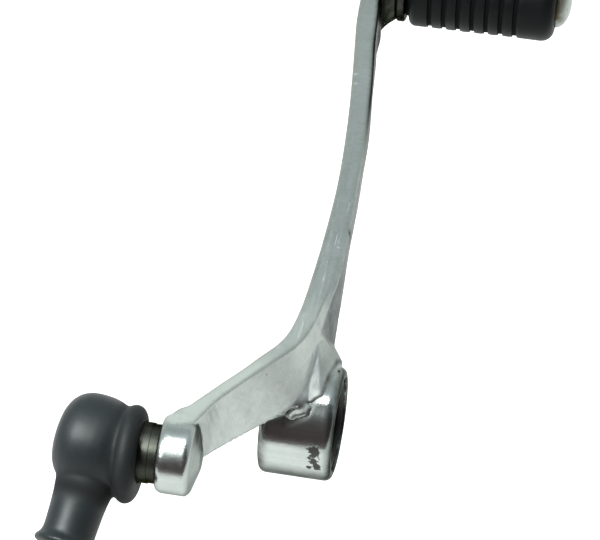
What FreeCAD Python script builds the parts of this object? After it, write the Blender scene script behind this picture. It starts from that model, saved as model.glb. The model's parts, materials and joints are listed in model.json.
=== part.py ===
import FreeCAD, Part

import math
import os

from FreeCAD import Vector

# A foot shift lever for a motorcycle: a cast arm on a greased pivot, a rubber-covered toe peg at its
# front end, and a sealed ball joint at its rear end that takes the gear linkage rod.
# Frame, in millimetres: the origin is the middle of the pivot bore, +X runs along the pivot towards the
# rider's foot (outboard), +Y points from the pivot to the toe peg, and +Z is up.

# Pivot boss and what runs in it
BOSS_RADIUS = 11.75
BOSS_HALF_LENGTH = 7.5
BOSS_EDGE_RADIUS = 1.5
BUSH_BORE_RADIUS = 8.5
SEAL_SEAT_RADIUS = 9.6
SEAL_SEAT_DEPTH = 3.4
SEAL_THICKNESS = 2.6
SEAL_RECESS = 0.6
COLLAR_RADIUS = 7.0
COLLAR_BORE_RADIUS = 5.05
COLLAR_INNER_END = -7.9
COLLAR_OUTER_END = 5.2
BUSH_LENGTH = 3.9
RUNNING_CLEARANCE = 0.05

# Toe peg
PEG_Y = 130.5
PEG_RADIUS = 10.0
PEG_Z = PEG_RADIUS - BOSS_RADIUS
EYE_INNER_FACE = -8.9
EYE_OUTER_FACE = -1.0
EYE_PLATE_RADIUS = 9.4
EYE_PLATE_FACE = -4.1
EYE_RADIUS = 9.0
EYE_FLARE = [(-4.1, 13.8), (-3.7, 12.6), (-3.1, 11.4), (-2.2, 10.2), (-1.0, 9.0)]
SPIGOT_RADIUS = 4.0
PIN_RADIUS = 5.0
RIVET_RADIUS = 5.2
PEG_START = 1.0
WASHER_RADIUS = 9.3
PEG_LENGTH = 34.4
PEG_TAPER = 0.5
GROOVE_COUNT = 7
GROOVE_PITCH = 3.33
GROOVE_WIDTH = 1.1
GROOVE_DEPTH = 1.3
FIRST_GROOVE = 5.5
HEAD_RADIUS = 6.1
HEAD_HEIGHT = 3.3
HEAD_STEPS = 12
PEG_HUB = Vector(0, PEG_Y, PEG_Z)

# Ball joint: the ball's centre, the stud along +X and the shank towards the linkage rod
BALL_CENTRE = Vector(-35.0, -29.2, 21.1)
BALL_RADIUS = 4.5
BALL_STEPS = 24
SHANK_DROP_DEG = 27.3
SHANK_TILT_DEG = 8.0
BALL_BOSS_RADIUS = 7.37
BALL_BOSS_INNER_FACE = 12.3
BALL_BOSS_SHOULDER = 18.3
BALL_BOSS_TIP = 20.5
BALL_BOSS_TIP_RADIUS = 2.0
NECK_RADIUS = 2.75
FLANGE_RADIUS = 5.96
FLANGE_START = 7.4
LOCK_WASHER_THICKNESS = 1.6
THREAD_RADIUS = 3.0
THREAD_END = 18.0
LOCK_WASHER_RADIUS = 5.8
HOUSING_RADIUS = 7.0
HOUSING_EDGE_RADIUS = 1.6
HOUSING_BACK = -5.9
HOUSING_MOUTH = 3.7
MOUTH_RADIUS = 4.0
SOCKET_RADIUS = 5.2
SOCKET_FLOOR = 3.0
SEAT_BACK = -4.2
SPRING_HEIGHT = 0.7
SHANK_RADIUS = 4.0
SHANK_LENGTH = 30.0
SHANK_HEX_START = 23.0
SHANK_HEX_FLATS = 9.0
ROD_THREAD_RADIUS = 2.5
ROD_THREAD_DEPTH = 13.0
BOOT_RADIUS = 9.2
BOOT_BACK_PROFILE = [(-7.6, 0), (-7.6, 3.8), (-7.3, 5.4), (-6.5, 7.0), (-5.2, 8.25), (-3.6, 9.0), (-1.8, 9.2)]
BOOT_MOUTH_RADIUS = 7.6
BOOT_GAP = 0.1
SLEEVE_RADIUS = 5.2
SLEEVE_END = 20.4
BEAD_LENGTH = 2.2
BEAD_RADIUS = 6.1
LIP_RADIUS = 9.75
LIP_START = 4.4
LIP_END = 8.7
LIP_SWEEP_RADIUS = 9.5
RING_START = 7.75
RING_END = 8.45
RING_RADIUS = 7.4

# The arm's cross-sections, front to rear. Each row is at one Y and gives, as X and Z, the top inboard
# edge, the top outboard edge, the ridge below it, and the lowest outboard edge. The ridge is a narrow
# bevel along the front arm and opens out into the broad face of the rear arm.
ARM_SECTIONS = [
    # y,     top z, x in,  x out, ridge x, ridge z, low x, low z
    (130.5,   6.2,  -8.6,  -4.4,  -4.0,    5.6,    -4.0,   -7.5),
    (122.0,   5.8,  -8.6,  -4.4,  -4.0,    5.2,    -3.9,   -5.6),
    (114.0,   6.1,  -8.2,  -4.0,  -3.6,    5.5,    -3.5,   -4.0),
    (106.0,   7.2,  -7.6,  -3.3,  -2.8,    6.6,    -2.7,   -2.6),
    (95.0,    9.2,  -6.2,  -2.1,  -1.5,    8.6,    -1.5,   -0.3),
    (82.0,   11.7,  -4.6,  -0.5,   0.1,   11.1,     0.0,    2.2),
    (70.0,   13.8,  -3.35,  0.8,   1.3,   13.2,     1.1,    4.1),
    (58.0,   15.6,  -2.4,   1.7,   2.2,   15.0,     1.8,    5.8),
    (45.0,   17.2,  -1.9,   2.3,   2.9,   16.6,     2.4,    7.2),
    (34.0,   18.2,  -1.95,  2.5,   3.3,   17.6,     2.9,    7.9),
    (26.0,   18.7,  -2.2,   2.2,   3.4,   18.0,     3.4,    7.8),
    (20.0,   19.0,  -2.5,   1.85,  3.0,   18.2,     3.6,    7.0),
    (16.0,   19.2,  -2.75,  1.4,   2.45,  17.8,     3.8,    6.4),
    (12.0,   19.5,  -3.15,  0.9,   2.0,   16.9,     4.2,    6.4),
    (8.0,    19.8,  -3.8,   0.2,   1.6,   15.6,     4.9,    7.6),
    (4.0,    20.3,  -5.0,  -1.1,   1.35,  14.2,     5.3,    9.5),
    (0.0,    21.0,  -7.2,  -3.4,   1.05,  12.95,    4.5,   10.8),
    (-4.0,   21.95, -9.55, -5.95,  0.1,   12.2,     1.6,   11.2),
    (-8.0,   23.0, -11.8,  -8.3,  -2.6,   12.0,    -2.2,   11.6),
    (-12.0,  24.1, -14.2, -10.6,  -6.0,   12.7,    -5.8,   12.35),
    (-16.0,  25.2, -16.5, -12.8,  -9.1,   13.7,    -9.0,   13.35),
    (-20.0,  26.2, -18.9, -14.6, -12.1,   14.8,   -12.0,   14.45),
    (-24.5,  27.2, -21.4, -16.4, -15.1,   16.1,   -15.0,   15.75),
    (-29.2,  27.7, -22.3, -18.0, -18.2,   17.1,   -18.1,   16.75),
]
# The gusset by the pivot boss: its high corner, its front and rim corners, its rear corner, and a buried hub
GUSSET_CORNERS = [(2.4, 10.2, 14.6), (3.95, 14.6, 6.6), (6.8, 8.9, 8.8), (4.8, -1.2, 11.65)]
GUSSET_HUB = (1.0, 8.0, 6.0)
INBOARD_DRAFT = 0.35
INBOARD_LEAN = 0.8
INBOARD_EDGE_RADIUS = 0.9


def polygon_face(points):
    closed = points + [points[0]]
    return Part.Face(Part.makePolygon(closed))


def revolve_about_x(profile, centre=Vector(0, 0, 0)):
    """Turn a closed outline of (x, radius) points about an X-parallel axis through centre."""
    face = polygon_face([centre + Vector(x, 0, radius) for x, radius in profile])
    return face.revolve(centre, Vector(1, 0, 0), 360)


def cylinder_x(radius, start, end, centre=Vector(0, 0, 0)):
    return Part.makeCylinder(radius, end - start, centre + Vector(start, 0, 0), Vector(1, 0, 0))


def ring_x(outer, inner, start, end, centre=Vector(0, 0, 0)):
    return cylinder_x(outer, start, end, centre).cut(cylinder_x(inner, start - 1, end + 1, centre))


def edges_at(shape, x=None, radius=None, centre=Vector(0, 0, 0), tolerance=0.02):
    """Circular edges round an X-parallel axis, picked by station and radius."""
    found = []
    for edge in shape.Edges:
        if not isinstance(edge.Curve, Part.Circle):
            continue
        hub = edge.Curve.Center - centre
        if abs(hub.y) > tolerance or abs(hub.z) > tolerance:
            continue
        if x is not None and abs(hub.x - x) > tolerance:
            continue
        if radius is not None and abs(edge.Curve.Radius - radius) > tolerance:
            continue
        found.append(edge)
    return found


def arm_section(row):
    """One closed section of the arm: five flats, with the two inboard edges rounded."""
    y, top_z, x_in, x_out, ridge_x, ridge_z, low_x, low_z = row
    low_in_x = x_in + INBOARD_DRAFT + INBOARD_LEAN * max(0.0, ridge_x - x_out - 1.5)
    low_in_z = low_z - 0.2
    r = INBOARD_EDGE_RADIUS
    k = r * (1 - math.sqrt(0.5))
    top_a = Vector(x_in, y, top_z - r)
    top_m = Vector(x_in + k, y, top_z - k)
    top_b = Vector(x_in + r, y, top_z)
    out = Vector(x_out, y, top_z)
    ridge = Vector(ridge_x, y, ridge_z)
    low = Vector(low_x, y, low_z)
    bottom_b = Vector(low_in_x + r, y, low_in_z)
    bottom_m = Vector(low_in_x + k, y, low_in_z + k)
    bottom_a = Vector(low_in_x, y, low_in_z + r)
    edges = [
        Part.Arc(top_a, top_m, top_b).toShape(),
        Part.makeLine(top_b, out),
        Part.makeLine(out, ridge),
        Part.makeLine(ridge, low),
        Part.makeLine(low, bottom_b),
        Part.Arc(bottom_b, bottom_m, bottom_a).toShape(),
        Part.makeLine(bottom_a, top_a),
    ]
    return Part.Wire(edges)


def arm():
    return Part.makeLoft([arm_section(row) for row in ARM_SECTIONS], True, False)


def eye_flare():
    """The trumpet-shaped blend from the arm's outboard face out to the peg eye, on the arm's side only."""
    flare = revolve_about_x([(EYE_FLARE[0][0], 0)] + EYE_FLARE + [(EYE_FLARE[-1][0], 0)], PEG_HUB)
    reach, low = EYE_FLARE[0][1] + 0.2, ARM_SECTIONS[0][7] + 0.1
    arm_side = Part.makeBox(8, reach, ARM_SECTIONS[0][5] - low, Vector(-6, PEG_Y - reach, low))
    return flare.common(arm_side)


def boss_gusset():
    """The dished web between the arm's outboard face and the outboard rim of the pivot boss."""
    hub, faces = Vector(*GUSSET_HUB), []
    corners = [Vector(*point) for point in GUSSET_CORNERS]
    for a, b, c in ((0, 1, 2), (0, 2, 3)):
        faces.append(polygon_face([corners[a], corners[b], corners[c]]))
    for index in range(len(corners)):
        faces.append(polygon_face([hub, corners[index - 1], corners[index]]))
    solid = Part.makeSolid(Part.makeShell(faces))
    if solid.Volume < 0:
        solid.reverse()
    return solid


def lever_casting():
    boss = cylinder_x(BOSS_RADIUS, -BOSS_HALF_LENGTH, BOSS_HALF_LENGTH)
    boss = boss.makeFillet(BOSS_EDGE_RADIUS, edges_at(boss, radius=BOSS_RADIUS))
    eye = cylinder_x(EYE_RADIUS, EYE_INNER_FACE, EYE_OUTER_FACE, PEG_HUB)
    plate = cylinder_x(EYE_PLATE_RADIUS, EYE_INNER_FACE, EYE_PLATE_FACE, PEG_HUB)
    ball_boss = revolve_about_x([
        (BALL_BOSS_INNER_FACE, 0),
        (BALL_BOSS_INNER_FACE, BALL_BOSS_RADIUS - 1.2),
        (BALL_BOSS_INNER_FACE + 0.3, BALL_BOSS_RADIUS - 0.4),
        (BALL_BOSS_INNER_FACE + 1.2, BALL_BOSS_RADIUS),
        (BALL_BOSS_SHOULDER, BALL_BOSS_RADIUS),
        (BALL_BOSS_SHOULDER + 0.7, BALL_BOSS_RADIUS - 0.7),
        (BALL_BOSS_TIP, BALL_BOSS_TIP_RADIUS),
        (BALL_BOSS_TIP, 0),
    ], BALL_CENTRE)
    body = arm()
    for piece in (boss, eye.fuse(plate), eye_flare(), boss_gusset(), ball_boss):
        body = body.fuse(piece)
    holes = [
        cylinder_x(BUSH_BORE_RADIUS, -BOSS_HALF_LENGTH - 1, BOSS_HALF_LENGTH + 1),
        cylinder_x(SEAL_SEAT_RADIUS, BOSS_HALF_LENGTH - SEAL_SEAT_DEPTH, BOSS_HALF_LENGTH + 1),
        cylinder_x(SEAL_SEAT_RADIUS, -BOSS_HALF_LENGTH - 1, SEAL_SEAT_DEPTH - BOSS_HALF_LENGTH),
        cylinder_x(SPIGOT_RADIUS, EYE_INNER_FACE - 1, EYE_OUTER_FACE + 1, PEG_HUB),
        rivet_countersink(),
        cylinder_x(THREAD_RADIUS, BALL_BOSS_INNER_FACE - 1, THREAD_END, BALL_CENTRE),
    ]
    for hole in holes:
        body = body.cut(hole)
    return body


def rivet_countersink():
    """The flare in the eye's inboard face that the toe pin is peened into."""
    return Part.makeCone(RIVET_RADIUS, SPIGOT_RADIUS, RIVET_RADIUS - SPIGOT_RADIUS,
                         PEG_HUB + Vector(EYE_INNER_FACE, 0, 0), Vector(1, 0, 0))


def pivot_collar():
    """The steel sleeve that is clamped to the motorcycle and that the lever turns on."""
    collar = ring_x(COLLAR_RADIUS, COLLAR_BORE_RADIUS, COLLAR_INNER_END, COLLAR_OUTER_END)
    return collar.makeChamfer(0.4, edges_at(collar, radius=COLLAR_BORE_RADIUS))


def pivot_bush(start):
    bush = ring_x(BUSH_BORE_RADIUS, COLLAR_RADIUS + RUNNING_CLEARANCE, start, start + BUSH_LENGTH)
    return bush.makeChamfer(0.25, edges_at(bush, radius=BUSH_BORE_RADIUS))


def pivot_bush_outer():
    return pivot_bush(BOSS_HALF_LENGTH - SEAL_SEAT_DEPTH - BUSH_LENGTH)


def pivot_bush_inner():
    return pivot_bush(SEAL_SEAT_DEPTH - BOSS_HALF_LENGTH)


def dust_seal(side):
    """A rubber ring pressed into the boss, with a lip that leans outwards along the collar."""
    out = side * (BOSS_HALF_LENGTH - SEAL_RECESS)
    back = out - side * SEAL_THICKNESS
    bore = COLLAR_RADIUS + RUNNING_CLEARANCE
    return revolve_about_x([
        (back, bore + 0.3),
        (back, SEAL_SEAT_RADIUS),
        (out - side * 0.3, SEAL_SEAT_RADIUS),
        (out, SEAL_SEAT_RADIUS - 0.3),
        (out, SEAL_SEAT_RADIUS - 0.9),
        (out - side * 0.8, SEAL_SEAT_RADIUS - 1.3),
        (out - side * 0.8, bore + 0.7),
        (out - side * 0.2, bore + 0.1),
        (out - side * 0.5, bore),
        (back + side * 0.5, bore),
    ])


def dust_seal_outer():
    return dust_seal(1)


def dust_seal_inner():
    return dust_seal(-1)


def toe_pin():
    """Steel pin: a domed head, a smooth shank for the rubber and a spigot peened into the eye."""
    tip = PEG_START + PEG_LENGTH
    profile = [(EYE_INNER_FACE - 0.9, 0), (EYE_INNER_FACE - 0.9, SPIGOT_RADIUS - 0.4)]
    profile += [(EYE_INNER_FACE - 0.4, RIVET_RADIUS - 0.3), (EYE_INNER_FACE, RIVET_RADIUS)]
    profile += [(EYE_INNER_FACE + RIVET_RADIUS - SPIGOT_RADIUS, SPIGOT_RADIUS)]
    profile += [(PEG_START, SPIGOT_RADIUS), (PEG_START, PIN_RADIUS), (tip, PIN_RADIUS)]
    profile += [(tip, HEAD_RADIUS - 0.35), (tip + 0.35, HEAD_RADIUS)]
    for step in range(1, HEAD_STEPS + 1):
        turn = math.pi / 2 * step / HEAD_STEPS
        rise = 0.5 + (HEAD_HEIGHT - 0.5) * math.sin(turn)
        profile.append((tip + rise, HEAD_RADIUS * math.cos(turn) if step < HEAD_STEPS else 0))
    return revolve_about_x(profile, PEG_HUB)


def toe_washer():
    washer = ring_x(WASHER_RADIUS, SPIGOT_RADIUS, EYE_OUTER_FACE, PEG_START, PEG_HUB)
    return washer.makeFillet(0.6, edges_at(washer, radius=WASHER_RADIUS, centre=PEG_HUB))


def toe_rubber():
    """Moulded rubber sleeve: rounded ends and a row of grip grooves before a plain outer band."""
    end = PEG_START + PEG_LENGTH
    tip_radius = PEG_RADIUS - PEG_TAPER
    profile = [(PEG_START, PIN_RADIUS), (PEG_START, PEG_RADIUS - 2.5), (PEG_START + 0.9, PEG_RADIUS - 2.2)]
    profile += [(PEG_START + 1.4, PEG_RADIUS - 0.7), (PEG_START + 2.6, PEG_RADIUS - 0.05)]
    for index in range(GROOVE_COUNT):
        middle = PEG_START + FIRST_GROOVE + index * GROOVE_PITCH
        half = GROOVE_WIDTH / 2
        outer = PEG_RADIUS - PEG_TAPER * (middle - PEG_START) / PEG_LENGTH
        floor = outer - GROOVE_DEPTH
        profile += [(middle - half, outer), (middle - half, floor)]
        profile += [(middle + half, floor), (middle + half, outer)]
    profile += [(end - 2.6, tip_radius), (end - 0.75, tip_radius - 0.75)]
    profile += [(end, tip_radius - 2.6), (end, PIN_RADIUS)]
    return revolve_about_x(profile, PEG_HUB)


def ball_stud():
    """Ball, waisted neck, round flange, then a threaded end in the lever's blind hole."""
    profile = [(-BALL_RADIUS, 0)]
    neck_turn = math.asin(NECK_RADIUS / BALL_RADIUS)
    for step in range(1, BALL_STEPS + 1):
        turn = math.pi - (math.pi - neck_turn) * step / BALL_STEPS
        profile.append((BALL_RADIUS * math.cos(turn), BALL_RADIUS * math.sin(turn)))
    flange_end = BALL_BOSS_INNER_FACE - LOCK_WASHER_THICKNESS
    profile += [(FLANGE_START - 0.6, NECK_RADIUS), (FLANGE_START, NECK_RADIUS + 0.6)]
    profile += [(FLANGE_START, FLANGE_RADIUS), (flange_end, FLANGE_RADIUS)]
    profile += [(flange_end, THREAD_RADIUS)]
    profile += [(THREAD_END - 0.6, THREAD_RADIUS), (THREAD_END, THREAD_RADIUS - 0.6), (THREAD_END, 0)]
    return revolve_about_x(profile, BALL_CENTRE)


def stud_lock_washer():
    """Spring washer, split and sprung flat between the stud's flange and the ball boss."""
    end = BALL_BOSS_INNER_FACE
    washer = ring_x(LOCK_WASHER_RADIUS, THREAD_RADIUS + 0.1, end - LOCK_WASHER_THICKNESS, end, BALL_CENTRE)
    split = Part.makeBox(6, 0.7, LOCK_WASHER_RADIUS + 1, Vector(end - 3, -0.35, 0))
    split.rotate(Vector(end - 0.8, 0, 0), Vector(0, 0, 1), 20)
    split.rotate(Vector(0, 0, 0), Vector(1, 0, 0), 150)
    split.translate(BALL_CENTRE)
    return washer.cut(split)


def place_rod_end(shape):
    """Move a shape made round the origin, mouth along +X and shank along -Y, to its place."""
    placed = shape.copy()
    placed.rotate(Vector(0, 0, 0), Vector(0, 0, 1), -SHANK_TILT_DEG)
    placed.rotate(Vector(0, 0, 0), Vector(1, 0, 0), SHANK_DROP_DEG)
    placed.translate(BALL_CENTRE)
    return placed


def shank_cylinder(radius, start, end):
    return Part.makeCylinder(radius, end - start, Vector(0, -start, 0), Vector(0, -1, 0))


def housing_shell(gap):
    """The round body of the housing, or the same shape grown by a gap."""
    shell = cylinder_x(HOUSING_RADIUS + gap, HOUSING_BACK - gap, HOUSING_MOUTH + gap)
    return shell.makeFillet(HOUSING_EDGE_RADIUS, edges_at(shell, radius=HOUSING_RADIUS + gap))


def joint_housing():
    """Forged rod end: a socket open at the back and the mouth, and a shank with flats and a thread."""
    shell = housing_shell(0)
    hexagon = [Vector(SHANK_HEX_FLATS / math.sqrt(3) * math.cos(math.radians(60 * k + 30)),
                      -SHANK_HEX_START,
                      SHANK_HEX_FLATS / math.sqrt(3) * math.sin(math.radians(60 * k + 30)))
               for k in range(6)]
    flats = polygon_face(hexagon).extrude(Vector(0, SHANK_HEX_START - SHANK_LENGTH, 0))
    body = shell.fuse(shank_cylinder(SHANK_RADIUS, 4, SHANK_HEX_START + 0.5)).fuse(flats)
    body = body.cut(cylinder_x(SOCKET_RADIUS, HOUSING_BACK - 1, SOCKET_FLOOR))
    body = body.cut(cylinder_x(MOUTH_RADIUS, 0, HOUSING_MOUTH + 1))
    body = body.cut(shank_cylinder(ROD_THREAD_RADIUS, SHANK_LENGTH - ROD_THREAD_DEPTH, SHANK_LENGTH + 1))
    return place_rod_end(body)


def ball_seat(start, end):
    ball = Part.makeSphere(BALL_RADIUS + RUNNING_CLEARANCE)
    opening = cylinder_x(MOUTH_RADIUS, 1, HOUSING_MOUTH)
    return place_rod_end(cylinder_x(SOCKET_RADIUS, start, end).cut(ball).cut(opening))


def ball_seat_front():
    return ball_seat(0.05, SOCKET_FLOOR)


def ball_seat_rear():
    return ball_seat(SEAT_BACK, -0.05)


def preload_spring():
    """Disc spring that keeps the rear seat against the ball."""
    rim = SEAT_BACK
    return place_rod_end(revolve_about_x([
        (rim, 2.0), (rim, 2.8), (rim - SPRING_HEIGHT / 2, SOCKET_RADIUS - 0.1),
        (rim - SPRING_HEIGHT, SOCKET_RADIUS - 0.1), (rim - SPRING_HEIGHT / 2, 2.0),
    ]))


def housing_plug():
    """Round plug staked into the back of the socket behind the spring."""
    plug = cylinder_x(SOCKET_RADIUS, HOUSING_BACK, SEAT_BACK - SPRING_HEIGHT)
    return place_rod_end(plug)


def joint_boot():
    """Rubber boot: a bulb over the housing and a sleeve with a beaded end along the shank."""
    mouth_turn = math.asin(BOOT_MOUTH_RADIUS / BOOT_RADIUS)
    outside = list(BOOT_BACK_PROFILE)
    for step in range(BALL_STEPS + 1):
        turn = math.pi / 2 - (math.pi / 2 - mouth_turn) * step / BALL_STEPS
        outside.append((BOOT_RADIUS * math.cos(turn), BOOT_RADIUS * math.sin(turn)))
    bulb = revolve_about_x(outside + [(outside[-1][0], 0)])
    sleeve = shank_cylinder(SLEEVE_RADIUS, 6, SLEEVE_END)
    bead = shank_cylinder(BEAD_RADIUS, SLEEVE_END - BEAD_LENGTH, SLEEVE_END)
    bead = bead.makeFillet(BEAD_LENGTH * 0.4, bead.Edges[0:1] + bead.Edges[2:3])
    body = bulb.fuse(sleeve).fuse(bead)
    cavity = housing_shell(BOOT_GAP)
    throat = cylinder_x(HOUSING_RADIUS + BOOT_GAP, 0, BOOT_RADIUS)
    for hollow in (shank_cylinder(SHANK_RADIUS, 5, SLEEVE_END + 1), cavity, throat):
        body = body.cut(hollow)
    return place_rod_end(body)


def boot_lip():
    """The boot's mouth: a rounded bead that grips the stud's flange and stays with the stud."""
    outside = [(LIP_START, LIP_RADIUS - 0.9), (LIP_START + 0.6, LIP_RADIUS - 0.2),
               (LIP_START + 1.6, LIP_RADIUS), (LIP_START + 2.8, LIP_RADIUS - 0.25),
               (LIP_END - 0.4, LIP_RADIUS - 1.2), (LIP_END, LIP_RADIUS - 2.2)]
    bore = FLANGE_RADIUS + RUNNING_CLEARANCE
    lip = revolve_about_x(outside + [(LIP_END, bore), (LIP_START, bore)], BALL_CENTRE)
    return lip.cut(Part.makeSphere(LIP_SWEEP_RADIUS, BALL_CENTRE)).cut(boot_ring())


def boot_ring():
    """Steel ring moulded into the boot's mouth, which turns on the stud's flange."""
    return ring_x(RING_RADIUS, FLANGE_RADIUS + RUNNING_CLEARANCE, RING_START, RING_END, BALL_CENTRE)


PARTS = [
    lever_casting, pivot_collar, pivot_bush_outer, pivot_bush_inner, dust_seal_outer, dust_seal_inner,
    toe_pin, toe_washer, toe_rubber, ball_stud, stud_lock_washer, joint_housing, ball_seat_front,
    ball_seat_rear, preload_spring, housing_plug, joint_boot, boot_lip, boot_ring,
]

os.makedirs("parts", exist_ok=True)
for make in PARTS:
    solid = make()
    print(make.__name__, solid.isValid(), len(solid.Solids), round(solid.Volume, 1))
    solid.exportStep("parts/" + make.__name__ + ".step")
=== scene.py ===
"""Looks for the gear shift lever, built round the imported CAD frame. Lengths are millimetres times MM."""
import json
import math

import bmesh
import bpy
import numpy as np
from mathutils import Matrix, Vector

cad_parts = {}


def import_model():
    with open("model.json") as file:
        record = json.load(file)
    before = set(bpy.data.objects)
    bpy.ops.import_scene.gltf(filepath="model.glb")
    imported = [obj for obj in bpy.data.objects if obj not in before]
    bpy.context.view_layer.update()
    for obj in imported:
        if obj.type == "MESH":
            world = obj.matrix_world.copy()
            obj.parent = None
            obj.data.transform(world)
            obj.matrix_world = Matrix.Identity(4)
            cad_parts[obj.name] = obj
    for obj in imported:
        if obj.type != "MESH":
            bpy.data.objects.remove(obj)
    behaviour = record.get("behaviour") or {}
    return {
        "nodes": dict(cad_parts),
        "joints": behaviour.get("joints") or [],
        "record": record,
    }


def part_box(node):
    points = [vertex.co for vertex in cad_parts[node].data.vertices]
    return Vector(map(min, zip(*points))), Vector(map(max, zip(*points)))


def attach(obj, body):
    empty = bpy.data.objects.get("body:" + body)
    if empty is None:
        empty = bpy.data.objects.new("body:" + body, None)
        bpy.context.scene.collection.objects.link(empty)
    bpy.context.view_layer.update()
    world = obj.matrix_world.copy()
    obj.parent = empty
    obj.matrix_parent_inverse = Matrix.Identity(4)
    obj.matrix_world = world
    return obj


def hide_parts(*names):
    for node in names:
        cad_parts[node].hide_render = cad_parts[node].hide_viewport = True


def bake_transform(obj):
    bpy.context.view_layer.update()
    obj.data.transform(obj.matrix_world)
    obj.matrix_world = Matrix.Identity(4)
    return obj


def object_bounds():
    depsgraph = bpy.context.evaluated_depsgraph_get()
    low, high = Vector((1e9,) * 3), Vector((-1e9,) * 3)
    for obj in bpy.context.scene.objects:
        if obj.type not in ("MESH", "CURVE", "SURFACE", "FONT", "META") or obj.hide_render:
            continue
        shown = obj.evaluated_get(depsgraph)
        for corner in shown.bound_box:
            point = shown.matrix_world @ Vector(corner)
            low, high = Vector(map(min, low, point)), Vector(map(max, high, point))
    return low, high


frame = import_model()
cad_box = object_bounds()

MM = 0.001

# Places that come from the frame
JOINTS = {joint["name"]: joint for joint in frame["joints"]}
MOUNTS = {mount["name"]: mount for mount in frame["record"]["mounts"]}
BALL = Vector(JOINTS["joint_tilt"]["pos_m"])
TILT_AXIS = Vector(JOINTS["joint_tilt"]["axis"]).normalized()
SHANK = (Vector(MOUNTS["link_rod_thread"]["pos_m"]) - BALL).normalized()
PEG_LOW, PEG_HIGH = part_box("toe_rubber")
PIN_LOW, PIN_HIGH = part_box("toe_pin")
PEG_HUB = Vector((0, (PEG_LOW.y + PEG_HIGH.y) / 2, (PEG_LOW.z + PEG_HIGH.z) / 2))
FLOOR_DROP = 46 * MM  # room for the toe peg at the lever's lower limit
FLOOR_Z = cad_box[0].z - FLOOR_DROP

# Lever casting
BOSS_RADIUS = 11.75 * MM
BOSS_FLAT_HALF = 5.6 * MM
RIM_RADIUS = 9.9 * MM
RIM_HALF_WIDTH = 0.9 * MM
RIM_START = 6.4 * MM
BALL_BOSS_RADIUS = 7.37 * MM
BALL_BOSS_SPAN = (13.8 * MM, 18.0 * MM)
BALL_BOSS_END = 19 * MM
SNAP_REACH = 0.12 * MM
CAST_VOXEL = 0.3 * MM
SWELL_HEIGHT = 0.85
NICK_DEPTH = 0.35

# Corner points of the two hulls joined to the casting, and lines on its skin, all in millimetres
WEB_FACE = [(2.4, 10.2, 14.6), (1.65, 8.0, 15.5), (1.35, 4.0, 14.2), (1.05, 0.0, 12.95), (0.35, -3.1, 11.55),
            (2.1, -4.1, 11.2), (4.2, -2.1, 11.7), (4.8, -1.2, 11.65), (6.8, 8.9, 8.8), (1.0, 8.0, 6.0),
            (2.0, -1.0, 9.0)]
WEB_FOOT = [(-0.1, -4.4, 11.5), (2.3, -4.8, 10.95), (2.0, -6.3, 10.4), (-1.1, -8.0, 9.9), (-2.4, -7.6, 10.1),
            (-1.7, -6.5, 10.7), (-2.0, -3.0, 8.5), (1.8, -3.0, 8.5)]
WEB_CREASE = [(6.1, 8.6, 9.6), (5.7, 8.1, 10.3), (4.95, 4.3, 11.4), (4.5, 0.9, 12.0), (4.2, -1.6, 11.7)]
FOOT_CREASE = [(4.4, -1.6, 11.7), (2.6, -4.9, 10.7), (2.2, -6.7, 9.8), (-1.2, -8.6, 8.3), (-2.7, -8.2, 8.6)]
ARM_UNDER = [(-2.6, -7.6, 9.4), (-5.4, -9.6, 8.0), (-7.2, -11.0, 10.5)]
WEB_MIDDLE = [(4.5, 8.0, 12.0), (3.4, 4.0, 13.0), (2.6, -0.5, 12.2)]
SIDE_NICK = [(3.05, 36.2, 17.2), (3.05, 37.2, 13.6)]
FOOT_MIDDLE = [(2.0, -4.6, 11.2), (-1.6, -7.6, 10.2)]
WEB_LEFT = [(3.9, 6.5, 12.6), (3.2, 2.0, 13.0), (2.2, -1.8, 12.2)]

# (middle, reach, rounds) of the places that are smoothed more
SOFT_SPOTS = [((6.8, 8.9, 8.8), 2.2, 10), ((-19.8, -22.5, 26.0), 6, 6), ((0.3, -6.1, 10.5), 3.6, 5)]
# (x, degrees up from the boss's front, radius) of the dark stain's blots
STAINS = [(4.0, 23, 2.3), (4.3, 17, 1.9), (4.4, 11, 1.9), (3.7, 8, 1.3), (5.2, 1, 1.4), (4.8, 5, 1.5),
          (3.5, 1, 1.0)]

# Toe peg, in millimetres
PEG_RADIUS = 10.0
PEG_TAPER = 0.5
PEG_TIP_ROUND = 2.8
GROOVE_FIRST = 6.9
GROOVE_PITCH = 3.27
GROOVE_COUNT = 7
GROOVE_DEPTH = 0.45
GROOVE_HALF = 0.66
GROOVE_SLOPE = 0.26
GROOVE_STATIONS = (0, 0.3, 0.42, 0.5, 0.58, 0.66, 0.76, 0.9, 1.05)
PIN_HEAD_RADIUS = 6.1
PIN_DENTS = 26

# Boot on the ball joint. Outlines are (distance along the axis, radius) in millimetres
BOOT_VOXEL = 0.32 * MM
BOOT_LIFT = 0.35
LIP_SAG = Vector((0.1, -0.66, -0.42)) * MM
BULB = [(-7.9, 0), (-7.9, 3.9), (-7.55, 5.7), (-6.7, 7.3), (-5.3, 8.55), (-3.6, 9.25), (-1.6, 9.45),
        (0.6, 9.4), (2.4, 9.05), (3.9, 8.4), (5.0, 7.9), (6.0, 7.8), (6.6, 7.6), (6.6, 0)]
LIP = [(4.9, 0), (4.9, 8.4), (5.2, 9.1), (5.9, 9.65), (6.7, 9.75), (7.5, 9.5), (8.2, 8.9), (8.6, 8.0),
       (8.7, 7.2), (8.7, 0)]
SLEEVE = [(4.0, 0), (4.0, 5.9), (9.0, 5.75), (10.5, 5.5), (13.0, 5.3), (17.0, 5.15), (18.6, 5.2), (19.3, 5.7),
          (19.9, 6.35), (20.6, 6.3), (21.0, 5.7), (21.0, 0)]
CAVITY = [(-6.0, 0), (-6.0, 5.4), (-5.4, 6.6), (-4.3, 7.1), (3.9, 7.1), (5.5, 6.9), (5.5, 0)]
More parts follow.
